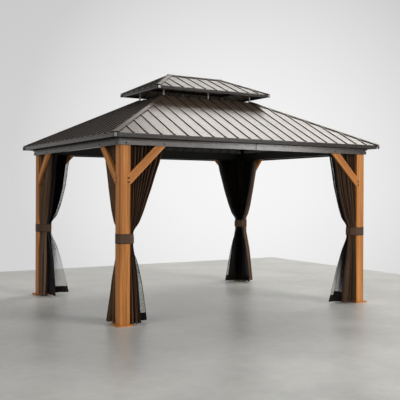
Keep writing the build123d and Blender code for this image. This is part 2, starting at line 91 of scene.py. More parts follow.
# %% Node helper
class NodeTree:
    """A node tree, with one-line ways to add the nodes that the finishes and the world need."""

    def __init__(self, tree):
        self.tree = tree

    def fill(self, socket, value):
        if isinstance(value, bpy.types.NodeSocket):
            self.tree.links.new(value, socket)
        else:
            socket.default_value = value

    def add(self, kind, inputs=(), **settings):
        node = self.tree.nodes.new(kind)
        for key, value in settings.items():
            setattr(node, key, value)
        for socket, value in dict(inputs).items():
            self.fill(node.inputs[socket], value)
        return node

    def split(self, vector):
        return self.add("ShaderNodeSeparateXYZ", {"Vector": vector}).outputs

    def ramp(self, factor, *stops):
        node = self.add("ShaderNodeValToRGB", {"Fac": factor})
        elements = node.color_ramp.elements
        while len(elements) < len(stops):
            elements.new(0.5)
        for element, (place, colour) in zip(elements, stops):
            element.position = place
            element.color = (*colour, 1)
        return node.outputs["Color"]

    def span(self, factor, low, high, start=0.0, end=1.0):
        inputs = {"Value": factor, "From Min": start, "From Max": end, "To Min": low, "To Max": high}
        return self.add("ShaderNodeMapRange", inputs).outputs["Result"]

    def math(self, operation, first, second=0.0):
        return self.add("ShaderNodeMath", {0: first, 1: second}, operation=operation).outputs["Value"]

    def weigh(self, first, share, second):
        """Two values blended by the first one's share."""
        rest = self.math("MULTIPLY", second, 1 - share)
        return self.math("ADD", self.math("MULTIPLY", first, share), rest)

    def mix(self, factor, first, second, blend="MIX"):
        node = self.add("ShaderNodeMix", data_type="RGBA", blend_type=blend)
        sockets = {socket.identifier: socket for socket in node.inputs}
        for socket, value in (("Factor_Float", factor), ("A_Color", first), ("B_Color", second)):
            self.fill(sockets[socket], value)
        return next(s for s in node.outputs if s.identifier == "Result_Color")


print("node helper ready")

# %% Material helper
WHITE = (1, 1, 1)


class Finish(NodeTree):
    """A material round one Principled shader, whose constants go on the shader's own sockets."""

    def __init__(self, name, **constants):
        self.material = bpy.data.materials.new(name)
        self.material.use_nodes = True
        super().__init__(self.material.node_tree)
        self.shader = self.tree.nodes["Principled BSDF"]
        for socket, value in constants.items():
            self.shader.inputs[socket.replace("_", " ")].default_value = value

    def coords(self, scale=(1, 1, 1), turn=(0, 0, 0), vector=None):
        source = vector or self.add("ShaderNodeTexCoord").outputs["Object"]
        inputs = {"Vector": source, "Scale": scale, "Rotation": turn}
        return self.add("ShaderNodeMapping", inputs).outputs["Vector"]

    def noise(self, vector, scale, detail=3, rough=0.5, distort=0):
        inputs = {"Vector": vector, "Scale": scale, "Detail": detail}
        inputs |= {"Roughness": rough, "Distortion": distort}
        return self.add("ShaderNodeTexNoise", inputs).outputs["Fac"]

    def bump(self, height, strength, distance):
        inputs = {"Height": height, "Strength": strength, "Distance": distance}
        self.link("Normal", self.add("ShaderNodeBump", inputs).outputs["Normal"])

    def link(self, socket, value):
        self.tree.links.new(value, self.shader.inputs[socket])


def srgb(red, green, blue):
    """A colour read as 0 to 255, in the linear values that Blender's shaders take."""
    levels = (red / 255, green / 255, blue / 255)
    return tuple(c / 12.92 if c < 0.0404 else ((c + 0.055) / 1.055) ** 2.4 for c in levels)


print("material helper ready")

# %% [markdown]
# ## Wood-look posts
# The posts and braces are aluminium with a printed wood grain under a satin coat. Real timber would need
# rings that cut across corners; a print only needs long streaks that run with the bar. Noise stretched
# along the bar gives them: broad bands of tone, then fine dark pores. On the braces the grain runs with
# the rake, so the coordinates are folded at the middle of the side and turned by 45 degrees.

# %% Wood-look finish
WOOD_DARK, WOOD_MID, WOOD_LIGHT = srgb(158, 97, 45), srgb(194, 126, 64), srgb(214, 150, 88)
WOOD_GLOSS = 0.14
# Noise per metre across the bar, twice, and along it
WOOD_BANDS, WOOD_STREAKS, WOOD_PORES = (14, 14, 0.55), (70, 70, 1.6), (420, 420, 9)
BANDS_SHARE = 0.55
PORE_TINT, PORE_SHARE = (0.72, 0.66, 0.60), 0.55
GRAIN_RELIEF, GRAIN_DEPTH = 0.18, 0.0006
BRACE_RAKE = math.radians(45)


def wood_print(name, folded_axis=None):
    """Streaked wood print: upright, or raked along the braces of the sides that run along folded_axis."""
    finish = Finish(name, Specular_IOR_Level=WOOD_GLOSS)
    vector = finish.add("ShaderNodeTexCoord").outputs["Object"]
    if folded_axis:
        parts = finish.split(vector)
        axes = {axis: parts[axis] for axis in "XYZ"}
        axes[folded_axis] = finish.math("ABSOLUTE", axes[folded_axis])
        folded = finish.add("ShaderNodeCombineXYZ", axes).outputs["Vector"]
        turn = (0, BRACE_RAKE, 0) if folded_axis == "X" else (-BRACE_RAKE, 0, 0)
        vector = finish.coords(turn=turn, vector=folded)
    bands = finish.noise(finish.coords(WOOD_BANDS, vector=vector), 1, 4, 0.55, 0.6)
    streaks = finish.noise(finish.coords(WOOD_STREAKS, vector=vector), 1, 4, 0.6, 0.4)
    pores = finish.noise(finish.coords(WOOD_PORES, vector=vector), 1, 2)
    tone = finish.weigh(bands, BANDS_SHARE, streaks)
    colour = finish.ramp(tone, (0.36, WOOD_DARK), (0.50, WOOD_MID), (0.64, WOOD_LIGHT))
    dark = finish.ramp(pores, (0.30, PORE_TINT), (0.46, WHITE))
    finish.link("Base Color", finish.mix(PORE_SHARE, colour, dark, "MULTIPLY"))
    finish.link("Roughness", finish.span(streaks, 0.42, 0.56))
    finish.bump(finish.math("ADD", pores, streaks), GRAIN_RELIEF, GRAIN_DEPTH)
    return finish.material


post_wood = wood_print("post_wood_grain")
front_brace_wood = wood_print("raked_wood_grain_front", "X")
side_brace_wood = wood_print("raked_wood_grain_side", "Y")
print("wood prints:", post_wood.name, front_brace_wood.name, side_brace_wood.name)

# %% [markdown]
# ## Coated metals
# The beams, trims and rails are powder coated, which leaves a very fine orange peel and a soft sheen. The
# roof sheets are coil coated and smoother, so at a low angle they mirror the sky. A painted picture could
# hold all that, but noise is enough and has no joins: one function lays a base colour with slow drifts in
# tone, some dust, and a roughness that drifts with it. Two extras go by the way that a face points, and
# they paint light and shade into the colour. Roof sheet has a dull back coat, whose colour is painted shade
# on the lower roof's underside and painted light on the upper roof's underside, and its standing seams have
# painted shade on their sides; a beam is dull and has painted shade on the faces towards the room.

# %% Back coat, and painted light and shade, by the way a face points
UNDERSIDE, SEAM_SIDE = -0.3, 0.75
# Painted shade on the sides of the roof sheets' standing seams
SEAM_SHADE = srgb(28, 23, 19)
DULL_BACK, DULL_SEAM, DULL_INNER = 0.25, 0.34, 0.30
IN_PLAN = (1, 1, 0)


def back_coat_and_seam_shade(finish, paint, sheen, back_coat_and_light):
    """A dull back coat on the underside of a sheet, in a colour that paints the light and shade there, and
    painted shade on the sides of its standing seams.
    """
    parts = finish.split(finish.add("ShaderNodeTexCoord").outputs["Normal"])
    under = finish.math("LESS_THAN", parts["Z"], UNDERSIDE)
    level = finish.math("MAXIMUM", *(finish.math("ABSOLUTE", parts[axis]) for axis in "XY"))
    shaded_seam_side = finish.math("GREATER_THAN", level, SEAM_SIDE)
    # Painted shade on the seams' sides, laid over the underside's back coat
    paint = finish.mix(shaded_seam_side, finish.mix(under, paint, (*back_coat_and_light, 1)), (*SEAM_SHADE, 1))
    dull_back = finish.math("MULTIPLY", under, DULL_BACK)
    dull_seam = finish.math("MULTIPLY", shaded_seam_side, DULL_SEAM)
    return paint, finish.math("ADD", sheen, finish.math("ADD", dull_back, dull_seam))


def paint_inner_shade(finish, paint, sheen, inner_shade):
    """Painted shade, dull and dark, on the faces that point to the middle of the gazebo."""
    facing = finish.add("ShaderNodeTexCoord").outputs["Normal"]
    inputs = {0: facing, 1: finish.coords(IN_PLAN)}
    outward = finish.add("ShaderNodeVectorMath", inputs, operation="DOT_PRODUCT").outputs["Value"]
    inner = finish.math("LESS_THAN", outward, 0.0)
    dull = finish.math("MULTIPLY", inner, DULL_INNER)
    # Painted shade on the faces towards the room
    return finish.mix(inner, paint, (*inner_shade, 1)), finish.math("ADD", sheen, dull)


print("extra coats ready")

# %% Coated metal finishes
CLOUD_SCALE, DUST_SCALE, PEEL_SCALE = 2.3, 34, 260
TONE_DRIFT = 0.18
DUST_DARK, DUST_LIGHT, DUST_SHARE = (0.90, 0.90, 0.90), (1.12, 1.10, 1.08), 0.8
POWDER_PEEL, CAP_PEEL, SHEET_PEEL = 0.12, 0.06, 0.05
PEEL_DEPTH = 0.0004
ROOF_BROWN = srgb(86, 71, 59)


def coated_metal(name, colour, rough, gloss, peel=POWDER_PEEL, back_coat_and_light=None, inner_shade=None):
    """Paint on metal: slow drifts of tone, specks of dust, a fine orange peel, and any back coat, with the
    painted light and shade that go by the way a face points.
    """
    finish = Finish(name, Metallic=0.2, Specular_IOR_Level=gloss)
    place = finish.coords()
    cloud = finish.noise(place, CLOUD_SCALE, 4, 0.6)
    dust = finish.noise(place, DUST_SCALE, 5, 0.65)
    low = tuple(c * (1 - TONE_DRIFT) for c in colour)
    high = tuple(min(1, c * (1 + TONE_DRIFT)) for c in colour)
    tone = finish.ramp(cloud, (0.30, low), (0.70, high))
    specks = finish.ramp(dust, (0.35, DUST_DARK), (0.75, DUST_LIGHT))
    paint = finish.mix(DUST_SHARE, tone, specks, "MULTIPLY")
    sheen = finish.span(dust, rough * 0.82, rough * 1.2, 0.3, 0.7)
    if back_coat_and_light:
        paint, sheen = back_coat_and_seam_shade(finish, paint, sheen, back_coat_and_light)
    if inner_shade:
        paint, sheen = paint_inner_shade(finish, paint, sheen, inner_shade)
    finish.link("Base Color", paint)
    finish.link("Roughness", sheen)
    finish.bump(finish.noise(place, PEEL_SCALE, 2), peel, PEEL_DEPTH)
    return finish.material


# The beam gets painted shade on its faces towards the room
beam_bronze = coated_metal("beam_bronze", srgb(49, 42, 37), 0.24, 0.60, inner_shade=srgb(18, 15, 13))
trim_bronze = coated_metal("trim_bronze", srgb(42, 35, 30), 0.24, 0.90)
# The back coats' colours are painted light: dark as shade on the lower roof's underside, pale as light on
# the upper one's
roof_sheet = coated_metal("roof_sheet", ROOF_BROWN, 0.37, 0.66, SHEET_PEEL, back_coat_and_light=srgb(16, 13, 11))
upper_sheet = coated_metal("upper_sheet", ROOF_BROWN, 0.37, 0.66, SHEET_PEEL, back_coat_and_light=srgb(100, 93, 84))
roof_cap = coated_metal("roof_cap", srgb(78, 63, 52), 0.42, 0.50, CAP_PEEL)
roof_frame = coated_metal("roof_frame", srgb(28, 23, 19), 0.55, 0.20)
rail_bronze = coated_metal("rail_bronze", srgb(30, 25, 22), 0.45, 0.30)
screw_dark = coated_metal("screw_dark", srgb(24, 21, 19), 0.45, 0.30)
print("8 coated metals")

# %% [markdown]
# The short posts in the vent gap are bare galvanised steel. Its zinc shows as a pale spangle of crystals,
# and Voronoi cells, each with its own grey and gloss, are close to how they grow.

# %% Galvanised steel
ZINC_DARK, ZINC_LIGHT = srgb(150, 150, 148), srgb(190, 190, 186)
SPANGLES_PER_METRE = 160.0


def galvanised_steel(name):
    """Bare zinc: a pale spangle of crystals, each with its own gloss."""
    finish = Finish(name, Metallic=0.9)
    inputs = {"Vector": finish.coords(), "Scale": SPANGLES_PER_METRE}
    crystals = finish.add("ShaderNodeTexVoronoi", inputs)
    grey = finish.add("ShaderNodeRGBToBW", {"Color": crystals.outputs["Color"]}).outputs["Val"]
    finish.link("Base Color", finish.ramp(grey, (0.2, ZINC_DARK), (0.8, ZINC_LIGHT)))
    finish.link("Roughness", finish.span(grey, 0.34, 0.52))
    return finish.material


stub_steel = galvanised_steel("stub_steel")
print("bare metal:", stub_steel.name)

# %% [markdown]
# ## Paint the CAD nodes
# Each CAD node keeps its own mesh and only gets a better material, chosen by what the piece is. The names
# of the nodes end with the kind of piece, so a table of endings is enough.

# %% Assign finishes to CAD nodes
NODE_FINISHES = {
    "post": post_wood,
    "foot_plates": post_wood,
    "front_braces": front_brace_wood,
    "back_braces": front_brace_wood,
    "left_braces": side_brace_wood,
    "right_braces": side_brace_wood,
    "beam": beam_bronze,
    "eave_trims": trim_bronze,
    "eave_corners": trim_bronze,
    "lower_roof": roof_sheet,
    "upper_roof": upper_sheet,
    "hip_caps": roof_cap,
    "ridge_cap": roof_cap,
    "rafters": roof_frame,
    "curb": roof_frame,
    "stub_posts": stub_steel,
    "curtain_rails": rail_bronze,
}
painted = 0
for name, node in nodes.items():
    ending = max((e for e in NODE_FINISHES if name.endswith(e)), key=len, default=None)
    if ending:
        for material_slot in node.material_slots:
            material_slot.material = NODE_FINISHES[ending]
        painted += 1
print(f"{painted} of {len(nodes)} nodes painted; the rest are cloth and are modelled below")

# %% [markdown]
# ## Cloth finishes
# The curtains are a plain weave of brown yarn with a little sheen. A hollow between folds is much darker
# than a crest, and the lamps alone don't show that on so fine a scale, so the finish also darkens by an
# attribute named fold that every panel carries. The nets are a fine black mesh: a real hole for every cell
# would be millions of faces, so the weave is drawn in the panel's own flat coordinates and the holes are
# see-through there. The curtains have a stitched heading and hem; the net's hem and edge tape are solid.

# %% Weave and stitches
def weave(finish, flat, cell):
    """Two sets of crossing threads, each as a wave from 0 to 1 that is highest along its threads."""
    across = finish.split(finish.coords((1 / cell, 1 / cell, 1), vector=flat))
    waves = []
    for axis in "XY":
        turn = finish.math("MULTIPLY", across[axis], 2 * math.pi)
        waves.append(finish.span(finish.math("COSINE", turn), 0.0, 1.0, -1.0, 1.0))
    return waves


def near_line(finish, value, place, width):
    """1 within a thin line at that place, else 0."""
    return finish.math("LESS_THAN", finish.math("ABSOLUTE", finish.math("SUBTRACT", value, place)), width)


print("weave ready")

# %% Curtain finish
CURTAIN_DARK, CURTAIN_LIGHT, CURTAIN_SHEEN = srgb(104, 79, 61), srgb(142, 111, 88), srgb(150, 124, 102)
STITCH_BLACK = srgb(16, 15, 14)
YARN = 0.0013
CURTAIN_SLUBS, CURTAIN_FADE, SLUB_SHARE = (260, 18, 1), (3, 2, 1), 0.6
# A hollow's share of the colour, and the values of fold that are a full crest and a full hollow
HOLLOW_SHADE, CREST_FOLD, HOLLOW_FOLD = 0.12, -0.95, 0.2
STITCH_LINE, STITCH_SHARE, STITCH_SINK = 0.0025, 0.6, -3.0


def curtain_finish(name, length, hem=0.045, heading=0.03):
    """Woven curtain cloth in the panel's flat coordinates, which are metres in its UV map."""
    finish = Finish(name, Roughness=0.82, Sheen_Weight=0.35, Sheen_Roughness=0.45, Specular_IOR_Level=0.25,
                    Sheen_Tint=(*CURTAIN_SHEEN, 1))
    flat = finish.add("ShaderNodeUVMap", uv_map="flat").outputs["UV"]
    along = finish.split(flat)["Y"]
    threads = finish.math("MAXIMUM", *weave(finish, flat, YARN))
    slubs = finish.noise(finish.coords(CURTAIN_SLUBS, vector=flat), 1, 3, 0.6)
    fade = finish.noise(finish.coords(CURTAIN_FADE, vector=flat), 1, 3, 0.5)
    tone = finish.weigh(slubs, SLUB_SHARE, fade)
    colour = finish.ramp(tone, (0.34, CURTAIN_DARK), (0.66, CURTAIN_LIGHT))
    # Painted shade: the hollows between folds are darkened by the attribute fold
    fold = finish.add("ShaderNodeAttribute", attribute_name="fold").outputs["Fac"]
    hollow = finish.span(fold, 1.0, HOLLOW_SHADE, CREST_FOLD, HOLLOW_FOLD)
    colour = finish.mix(1.0, colour, hollow, "MULTIPLY")
    stitched = finish.math("ADD", near_line(finish, along, hem, STITCH_LINE),
                           near_line(finish, along, length - heading, STITCH_LINE))
    dark = finish.math("MULTIPLY", stitched, STITCH_SHARE)
    finish.link("Base Color", finish.mix(dark, colour, (*STITCH_BLACK, 1)))
    finish.bump(finish.math("ADD", threads, finish.math("MULTIPLY", stitched, STITCH_SINK)), 0.35, 0.0004)
    return finish.material


print("curtain finish ready")

# %% Net finish
NET_CELL, NET_THREAD_SHARE = 0.0022, 0.19
NET_HEM, EDGE_TAPE = 0.085, 0.014
NET_SLUBS = (240, 30, 1)
HEM_DARK, HEM_LIGHT = srgb(24, 18, 15), srgb(42, 32, 26)
MESH_DARK, MESH_LIGHT = srgb(10, 10, 10), srgb(24, 23, 22)


def net_finish(name, width):
    """Black mesh that is see-through between its threads, with a solid hem and edge tape."""
    finish = Finish(name, Roughness=0.7, Specular_IOR_Level=0.3)
    flat = finish.add("ShaderNodeUVMap", uv_map="flat").outputs["UV"]
    parts = finish.split(flat)
    warp, weft = weave(finish, flat, NET_CELL)
    thread_edge = (1 + math.cos(math.pi * NET_THREAD_SHARE)) / 2
    threads = finish.math("GREATER_THAN", finish.math("MAXIMUM", warp, weft), thread_edge)
    hem = finish.math("LESS_THAN", parts["Y"], NET_HEM)
    tape = finish.math("GREATER_THAN", parts["X"], width - EDGE_TAPE)
    solid = finish.math("MAXIMUM", hem, tape)
    slubs = finish.noise(finish.coords(NET_SLUBS, vector=flat), 1, 3, 0.6)
    cloth = finish.ramp(slubs, (0.35, HEM_DARK), (0.65, HEM_LIGHT))
    mesh = finish.ramp(slubs, (0.35, MESH_DARK), (0.65, MESH_LIGHT))
    finish.link("Base Color", finish.mix(solid, mesh, cloth))
    finish.link("Alpha", finish.math("MAXIMUM", threads, solid))
    finish.bump(finish.math("ADD", warp, weft), 0.25, 0.0005)
    return finish.material


print("net finish ready")

# %% [markdown]
# ## Hanging the curtains and nets
# A tied-back curtain keeps all of its width everywhere: at the rail it stands in soft folds, at the tie it
# is pressed into a tight packet of pleats, and below it fans out again. A cloth simulation of sixteen
# panels through a tie is slow and hard to steer, so each panel is a flat grid of cloth that is laid, row
# by row, along a line in plan. The line comes from a few stations up the panel, and the folds are as deep
# as the spare cloth in the row needs, as far as there is room for them.

# %% Panel stations
MM = 0.001
POST_OUT_X, POST_OUT_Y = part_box("back_right_post")[1].xy
POST_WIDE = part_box("back_right_post")[1].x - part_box("back_right_post")[0].x
RAIL_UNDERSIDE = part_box("curtain_rails")[0].z
BAND_LOW, BAND_HIGH = (corner.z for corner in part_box("front_left_tie_band"))
HEM_CLEAR = 0.018
PANEL_LENGTH = RAIL_UNDERSIDE - HEM_CLEAR
# Each station is a height, then millimetres from the post's outer corner: where the row starts and ends
# along the side, how far in from the outer face its start, middle and end are, and its deepest fold.
CURTAIN_STATIONS = [
    (0.000, (124, 272, 52, 30, 20, 100)),
    (0.450, (121, 228, 50, 50, 50, 88)),
    (0.820, (121, 176, 44, 62, 78, 48)),
    (0.985, (121, 176, 44, 62, 78, 48)),
    (1.060, (121, 234, 46, 62, 70, 66)),
    (1.200, (120, 288, 50, 62, 66, 74)),
    (1.400, (121, 350, 58, 66, 68, 74)),
    (1.470, (121, 368, 68, 68, 68, 72)),
    (1.900, (122, 454, 68, 68, 68, 72)),
]
NET_STATIONS = [
    (0.000, (134, 445, 136, 122, 146, 40)),
    (0.450, (133, 325, 134, 123, 134, 34)),
    (0.660, (133, 256, 131, 122, 124, 30)),
    (0.820, (132, 177, 126, 121, 120, 20)),
    (0.985, (132, 177, 126, 121, 120, 20)),
    (1.060, (133, 250, 132, 123, 123, 28)),
    (1.200, (133, 306, 134, 123, 123, 30)),
    (1.470, (134, 388, 136, 123, 123, 30)),
    (1.900, (134, 478, 136, 123, 123, 30)),
]
EASE_RUN, EASE_STEPS = 0.03, 9


def station_values(stations, height):
    """The stations' values at each height, eased over a few centimetres so that no row kinks."""
    heights = np.array([h for h, _ in stations])
    table = np.array([v for _, v in stations], float) * MM
    offsets = np.linspace(-EASE_RUN, EASE_RUN, EASE_STEPS)
    return [np.mean([np.interp(height + d, heights, column) for d in offsets], axis=0) for column in table.T]


print(f"post corner at {POST_OUT_X:.3f}, {POST_OUT_Y:.3f} m; rail underside at {RAIL_UNDERSIDE:.4f} m")

# %% [markdown]
# One row of pleats is a wave across the panel. The crests aren't evenly spaced, because no one folds a
# curtain with a ruler, so the phase drifts a little from fold to fold. A few broad folds, which fan out
# from the tie, bend the line that the pleats follow. All of this moves the cloth only in and out of the
# side, so a row never passes its own start and end. The depth of every row is then solved so that the row
# is as long as the cloth is wide.

# %% Lines and depths of the rows
SOLVE_STEPS = 22


def row_lines(start, end, b_start, b_middle, b_end, spread):
    """Each row's line in plan through its start, middle and end."""
    along = start + (end - start) * spread
    inward = b_start * (1 - spread) * (1 - 2 * spread) + 4 * b_middle * spread * (1 - spread)
    return along, inward + b_end * spread * (2 * spread - 1)


def solve_depth(along, inward, wave, flat_width, deepest):
    """For each row, the fold depth that makes it as long as the flat cloth, up to the room there is."""
    low, high = np.zeros(len(along)), deepest.copy()
    for _ in range(SOLVE_STEPS):
        depth = (low + high) / 2
        steps = np.hypot(np.diff(along, axis=1), np.diff(inward + wave * depth[:, None], axis=1))
        short = steps.sum(axis=1) < flat_width
        low, high = np.where(short, depth, low), np.where(short, high, depth)
    return (low + high) / 2


print("rows ready")

# %% Pleats and broad folds
FULL_TURN = 2 * np.pi
PHASE_DRIFT, PHASE_SWAY, BROAD_DRIFT = 0.2, 0.07, 0.16
SMALL_SHARE, UNEVEN_DEPTH = 0.1, 0.14


def fold_wave(across, up, folds, crest, rng):
    """The pleats of a panel, from -1 to 1, with crests narrower than the hollows where crest is below 1."""
    sizes, places = rng.uniform(-PHASE_DRIFT, PHASE_DRIFT, 3), rng.uniform(0, 1, 3)
    drift = sum(size * np.sin(FULL_TURN * (k * across + at))
                for k, size, at in zip((1, 2, 3), sizes, places))
    sway = PHASE_SWAY * np.sin(FULL_TURN * (0.8 * up + rng.uniform(0, 1)) + 5 * across)
    shift = drift + sway
    phase = FULL_TURN * (folds * across + shift - shift[:, :1] - 0.25)
    pleats = 2 * ((1 + np.sin(phase)) / 2) ** crest - 1
    small = np.sin(2.37 * phase + 0.6 * np.sin(FULL_TURN * (0.6 * up + rng.uniform(0, 1))))
    uneven = 1 + UNEVEN_DEPTH * np.sin(0.43 * phase + rng.uniform(0, 6))
    return ((1 - SMALL_SHARE) * pleats + SMALL_SHARE * small) * uneven


def broad_folds(across, height, waves, rng):
    """Broad folds that fan out from the tie, from -1 to 1."""
    drift = BROAD_DRIFT * np.sin(FULL_TURN * (across + rng.uniform(0, 1))) + rng.uniform(0, 1)
    phase = FULL_TURN * (waves * across + drift) + 0.5 * np.sin(1.7 * height + rng.uniform(0, 6))
    return np.sin(phase + 0.5 * np.sin(phase))


print("folds ready")

# %% [markdown]
# The grid itself is Blender's own, with each of its points moved to the place that was worked out for it.
# The UV map named flat keeps where the point is on the uncut cloth, in metres, so that the weave isn't
# stretched, and the attribute named fold keeps how far the point is in from the crests.

# %% Grid of cloth
def cloth_grid(mesh_name, plan, height, tone, flat_size):
    """A mesh of cloth whose points have these places in plan, heights and values of fold."""
    rows, columns = tone.shape[0] - 1, tone.shape[1] - 1
    bm = bmesh.new()
    bmesh.ops.create_grid(bm, x_segments=columns, y_segments=rows, size=0.5)
    layer, fold = bm.loops.layers.uv.new("flat"), bm.verts.layers.float.new("fold")
    for vert in bm.verts:
        column, row = round((vert.co.x + 0.5) * columns), round((vert.co.y + 0.5) * rows)
        vert[fold] = tone[row, column]
        for loop in vert.link_loops:
            loop[layer].uv = (column / columns * flat_size[0], row / rows * flat_size[1])
        vert.co = (*plan[row, column], height[row, column])
    for face in bm.faces:
        face.smooth = True
    mesh = bpy.data.meshes.new(mesh_name)
    bm.to_mesh(mesh)
    bm.free()
    return mesh


print("grid ready")

# %% [markdown]
# Curtain and net are the same kind of panel with other numbers: the net has many small folds, is gathered
# more towards the post at its hem and hangs calmer at its free edge. The panels on the short sides are
# narrower, because two of them close a shorter side.

# %% Fold a panel
ROWS_PER_METRE = 44
LONG, SHORT = True, False
FLAT_WIDTH = {LONG: 1.55, SHORT: 1.27}
# Heights, and at each the broad folds' share of the attribute fold; the cloths have their size there
BROAD_HEIGHTS = (0.0, 0.45, 0.82, 0.99, 1.25, 1.6, 1.9)
BROAD_TONE = (0.75, 0.75, 0.65, 0.55, 0.40, 0.30, 0.25)
CURTAIN = {"stations": CURTAIN_STATIONS, "folds": {LONG: 9, SHORT: 8}, "columns": 36, "crest": 0.7,
           "waves": 5.4, "broad": (0.024, 0.015, 0.003, 0.003, 0.005, 0.004, 0.004),
           "gather_hem": 0.0, "gather_lead": 0.0, "calm_lead": 0.0}
NET = {"stations": NET_STATIONS, "folds": {LONG: 29, SHORT: 24}, "columns": 16, "crest": 1.0,
       "waves": 3.3, "broad": (0.014, 0.008, 0.002, 0.002, 0.003, 0.003, 0.003),
       "gather_hem": 1.3, "gather_lead": 0.5, "calm_lead": 0.6}
# Above the tie, a panel comes to its own reach within this height
REACH_RISE = 0.75
# Shares of the width: where the broad folds have set in, and where the calm free edge starts and is full
BROAD_START, CALM_START, CALM_RUN = 0.1, 0.72, 0.16


def fold_panel(mesh_name, cloth, on_long_side, seed, hem_reach, rail_reach):
    """A panel of cloth, shaped row by row, in post measure."""
    rng = np.random.default_rng(seed)
    flat_width, folds = FLAT_WIDTH[on_long_side], cloth["folds"][on_long_side]
    rows, columns = round(PANEL_LENGTH * ROWS_PER_METRE), folds * cloth["columns"]
    across, up = np.meshgrid(np.linspace(0, 1, columns + 1), np.linspace(0, 1, rows + 1))
    height = HEM_CLEAR + up * PANEL_LENGTH
    start, end, *inward, deepest = station_values(cloth["stations"], height)
    below_band = np.clip(1 - height / BAND_LOW, 0, 1)
    above_band = np.clip((height - BAND_LOW) / (BAND_HIGH - BAND_LOW), 0, 1)
    up_to_rail = np.clip((height - BAND_HIGH) / REACH_RISE, 0, 1) ** 2
    end = start + (end - start) * (1 + (hem_reach - 1) * below_band + (rail_reach - 1) * up_to_rail)
    spread = across ** (1 + cloth["gather_hem"] * below_band)
    spread = 1 - (1 - spread) ** (1 + cloth["gather_lead"] * above_band)
    along, line = row_lines(start, end, *inward, spread)
    broad = broad_folds(across, height, cloth["waves"], rng)
    size = np.interp(height, BROAD_HEIGHTS, cloth["broad"]) * np.clip(across / BROAD_START, 0, 1)
    line = line + size * broad
    free_edge = np.clip((across - CALM_START) / CALM_RUN, 0, 1)
    calm = 1 - cloth["calm_lead"] * np.sqrt(below_band) * free_edge
    wave = fold_wave(across, up, folds, cloth["crest"], rng) * calm
    depth = solve_depth(along, line, wave, flat_width, deepest[:, 0] / 2)
    plan = np.stack([along, line + wave * depth[:, None]], axis=2)
    # The values of fold, which the cloth finishes turn into painted shade in the hollows
    tone = wave + np.interp(height, BROAD_HEIGHTS, BROAD_TONE) * (broad - wave)
    return cloth_grid(mesh_name, plan, height, tone, (flat_width, PANEL_LENGTH))


print(f"panels are {FLAT_WIDTH[LONG]} and {FLAT_WIDTH[SHORT]} m wide when flat")

# %% [markdown]
# The stations are drawn at one corner, so each panel is moved to its post: mirrored for the left and the
# front, and with its two plan directions exchanged for the panels on the short sides.

# %% Put pieces in place
CORNERS = {"front_left": (-1, -1), "front_right": (1, -1), "back_left": (-1, 1), "back_right": (1, 1)}


def to_corner(mesh, corner, on_long_side):
    """Moves a panel from post measure to its place at that corner."""
    sign_x, sign_y = CORNERS[corner]
    for vert in mesh.vertices:
        a, b, z = vert.co
        run_x, run_y = (a, b) if on_long_side else (b, a)
        vert.co = (sign_x * (POST_OUT_X - run_x), sign_y * (POST_OUT_Y - run_y), z)
    if sign_x * sign_y * (1 if on_long_side else -1) < 0:
        mesh.flip_normals()


def place_piece(name, mesh, material, slot_name, *replaced):
    """Makes a mesh a piece of the object that rides with its frame."""
    mesh.materials.append(material)
    piece = bpy.data.objects.new(name, mesh)
    scene.collection.objects.link(piece)
    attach(piece, "root")
    if replaced:
        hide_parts(*replaced)
    return piece


def thicken(piece, thickness):
    """Gives a sheet its thickness, half on each side."""
    solid = piece.modifiers.new("thickness", "SOLIDIFY")
    solid.thickness, solid.offset = thickness, 0


print(f"{len(CORNERS)} corners")

# %% Hang every panel
CURTAIN_THICKNESS = 0.0012
CORNER_SEEDS, NET_SEEDS = 10, 500
# No two panels hang alike: each one's share of the reach at the hem of its curtain and net, and at the rail
REACH = {"front_left_front": (0.82, 0.80, 1.20), "front_left_left": (1.30, 1.05, 1.15),
         "front_right_front": (1.42, 1.10, 0.98), "front_right_right": (1.10, 1.00, 1.00),
         "back_left_back": (1.00, 0.94, 0.90), "back_left_left": (1.20, 1.00, 1.00),
         "back_right_back": (1.05, 0.94, 1.16), "back_right_right": (1.00, 1.00, 1.05)}
curtain_cloth = curtain_finish("curtain_cloth", PANEL_LENGTH)
net_mesh = {LONG: net_finish("net_mesh_long", FLAT_WIDTH[LONG]),
            SHORT: net_finish("net_mesh_short", FLAT_WIDTH[SHORT])}
panels = 0
for number, corner in enumerate(CORNERS):
    for side in corner.split("_"):
        long_side = side in ("front", "back")
        seed = CORNER_SEEDS * number + long_side
        curtain_hem, net_hem, rail = REACH[f"{corner}_{side}"]
        mesh = fold_panel(f"{corner}_curtain_{side}", CURTAIN, long_side, seed, curtain_hem, rail)
        to_corner(mesh, corner, long_side)
        curtain = place_piece(mesh.name, mesh, curtain_cloth, "curtain_cloth", f"{corner}_curtains")
        thicken(curtain, CURTAIN_THICKNESS)
        mesh = fold_panel(f"{corner}_net_{side}", NET, long_side, NET_SEEDS + seed, net_hem, rail)
        to_corner(mesh, corner, long_side)
        net = place_piece(mesh.name, mesh, net_mesh[long_side], "net_mesh", f"{corner}_nets")
        panels += 2
print(f"{panels} panels hung, each {PANEL_LENGTH:.2f} m long")

# %% [markdown]
# ## Tie bands
# A band of the curtain's cloth goes once round the post and both gathered panels and closes on the room
# side. It could be a plain ring, but a band that is pulled tight is flat on the post, turns sharply at its
# corners and dents where the folds press, so a strip follows the outline with a few shallow creases.

# %% Tie band outline
BAND_THICKNESS = 0.003
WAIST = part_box("back_right_post")[1].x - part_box("back_right_tie_band")[0].x
CURTAIN_FACE, NET_FACE = 0.046, 0.131
BAND_STEP = 0.006
BAND_EASE, BAND_EASE_STEPS = 0.008, 7


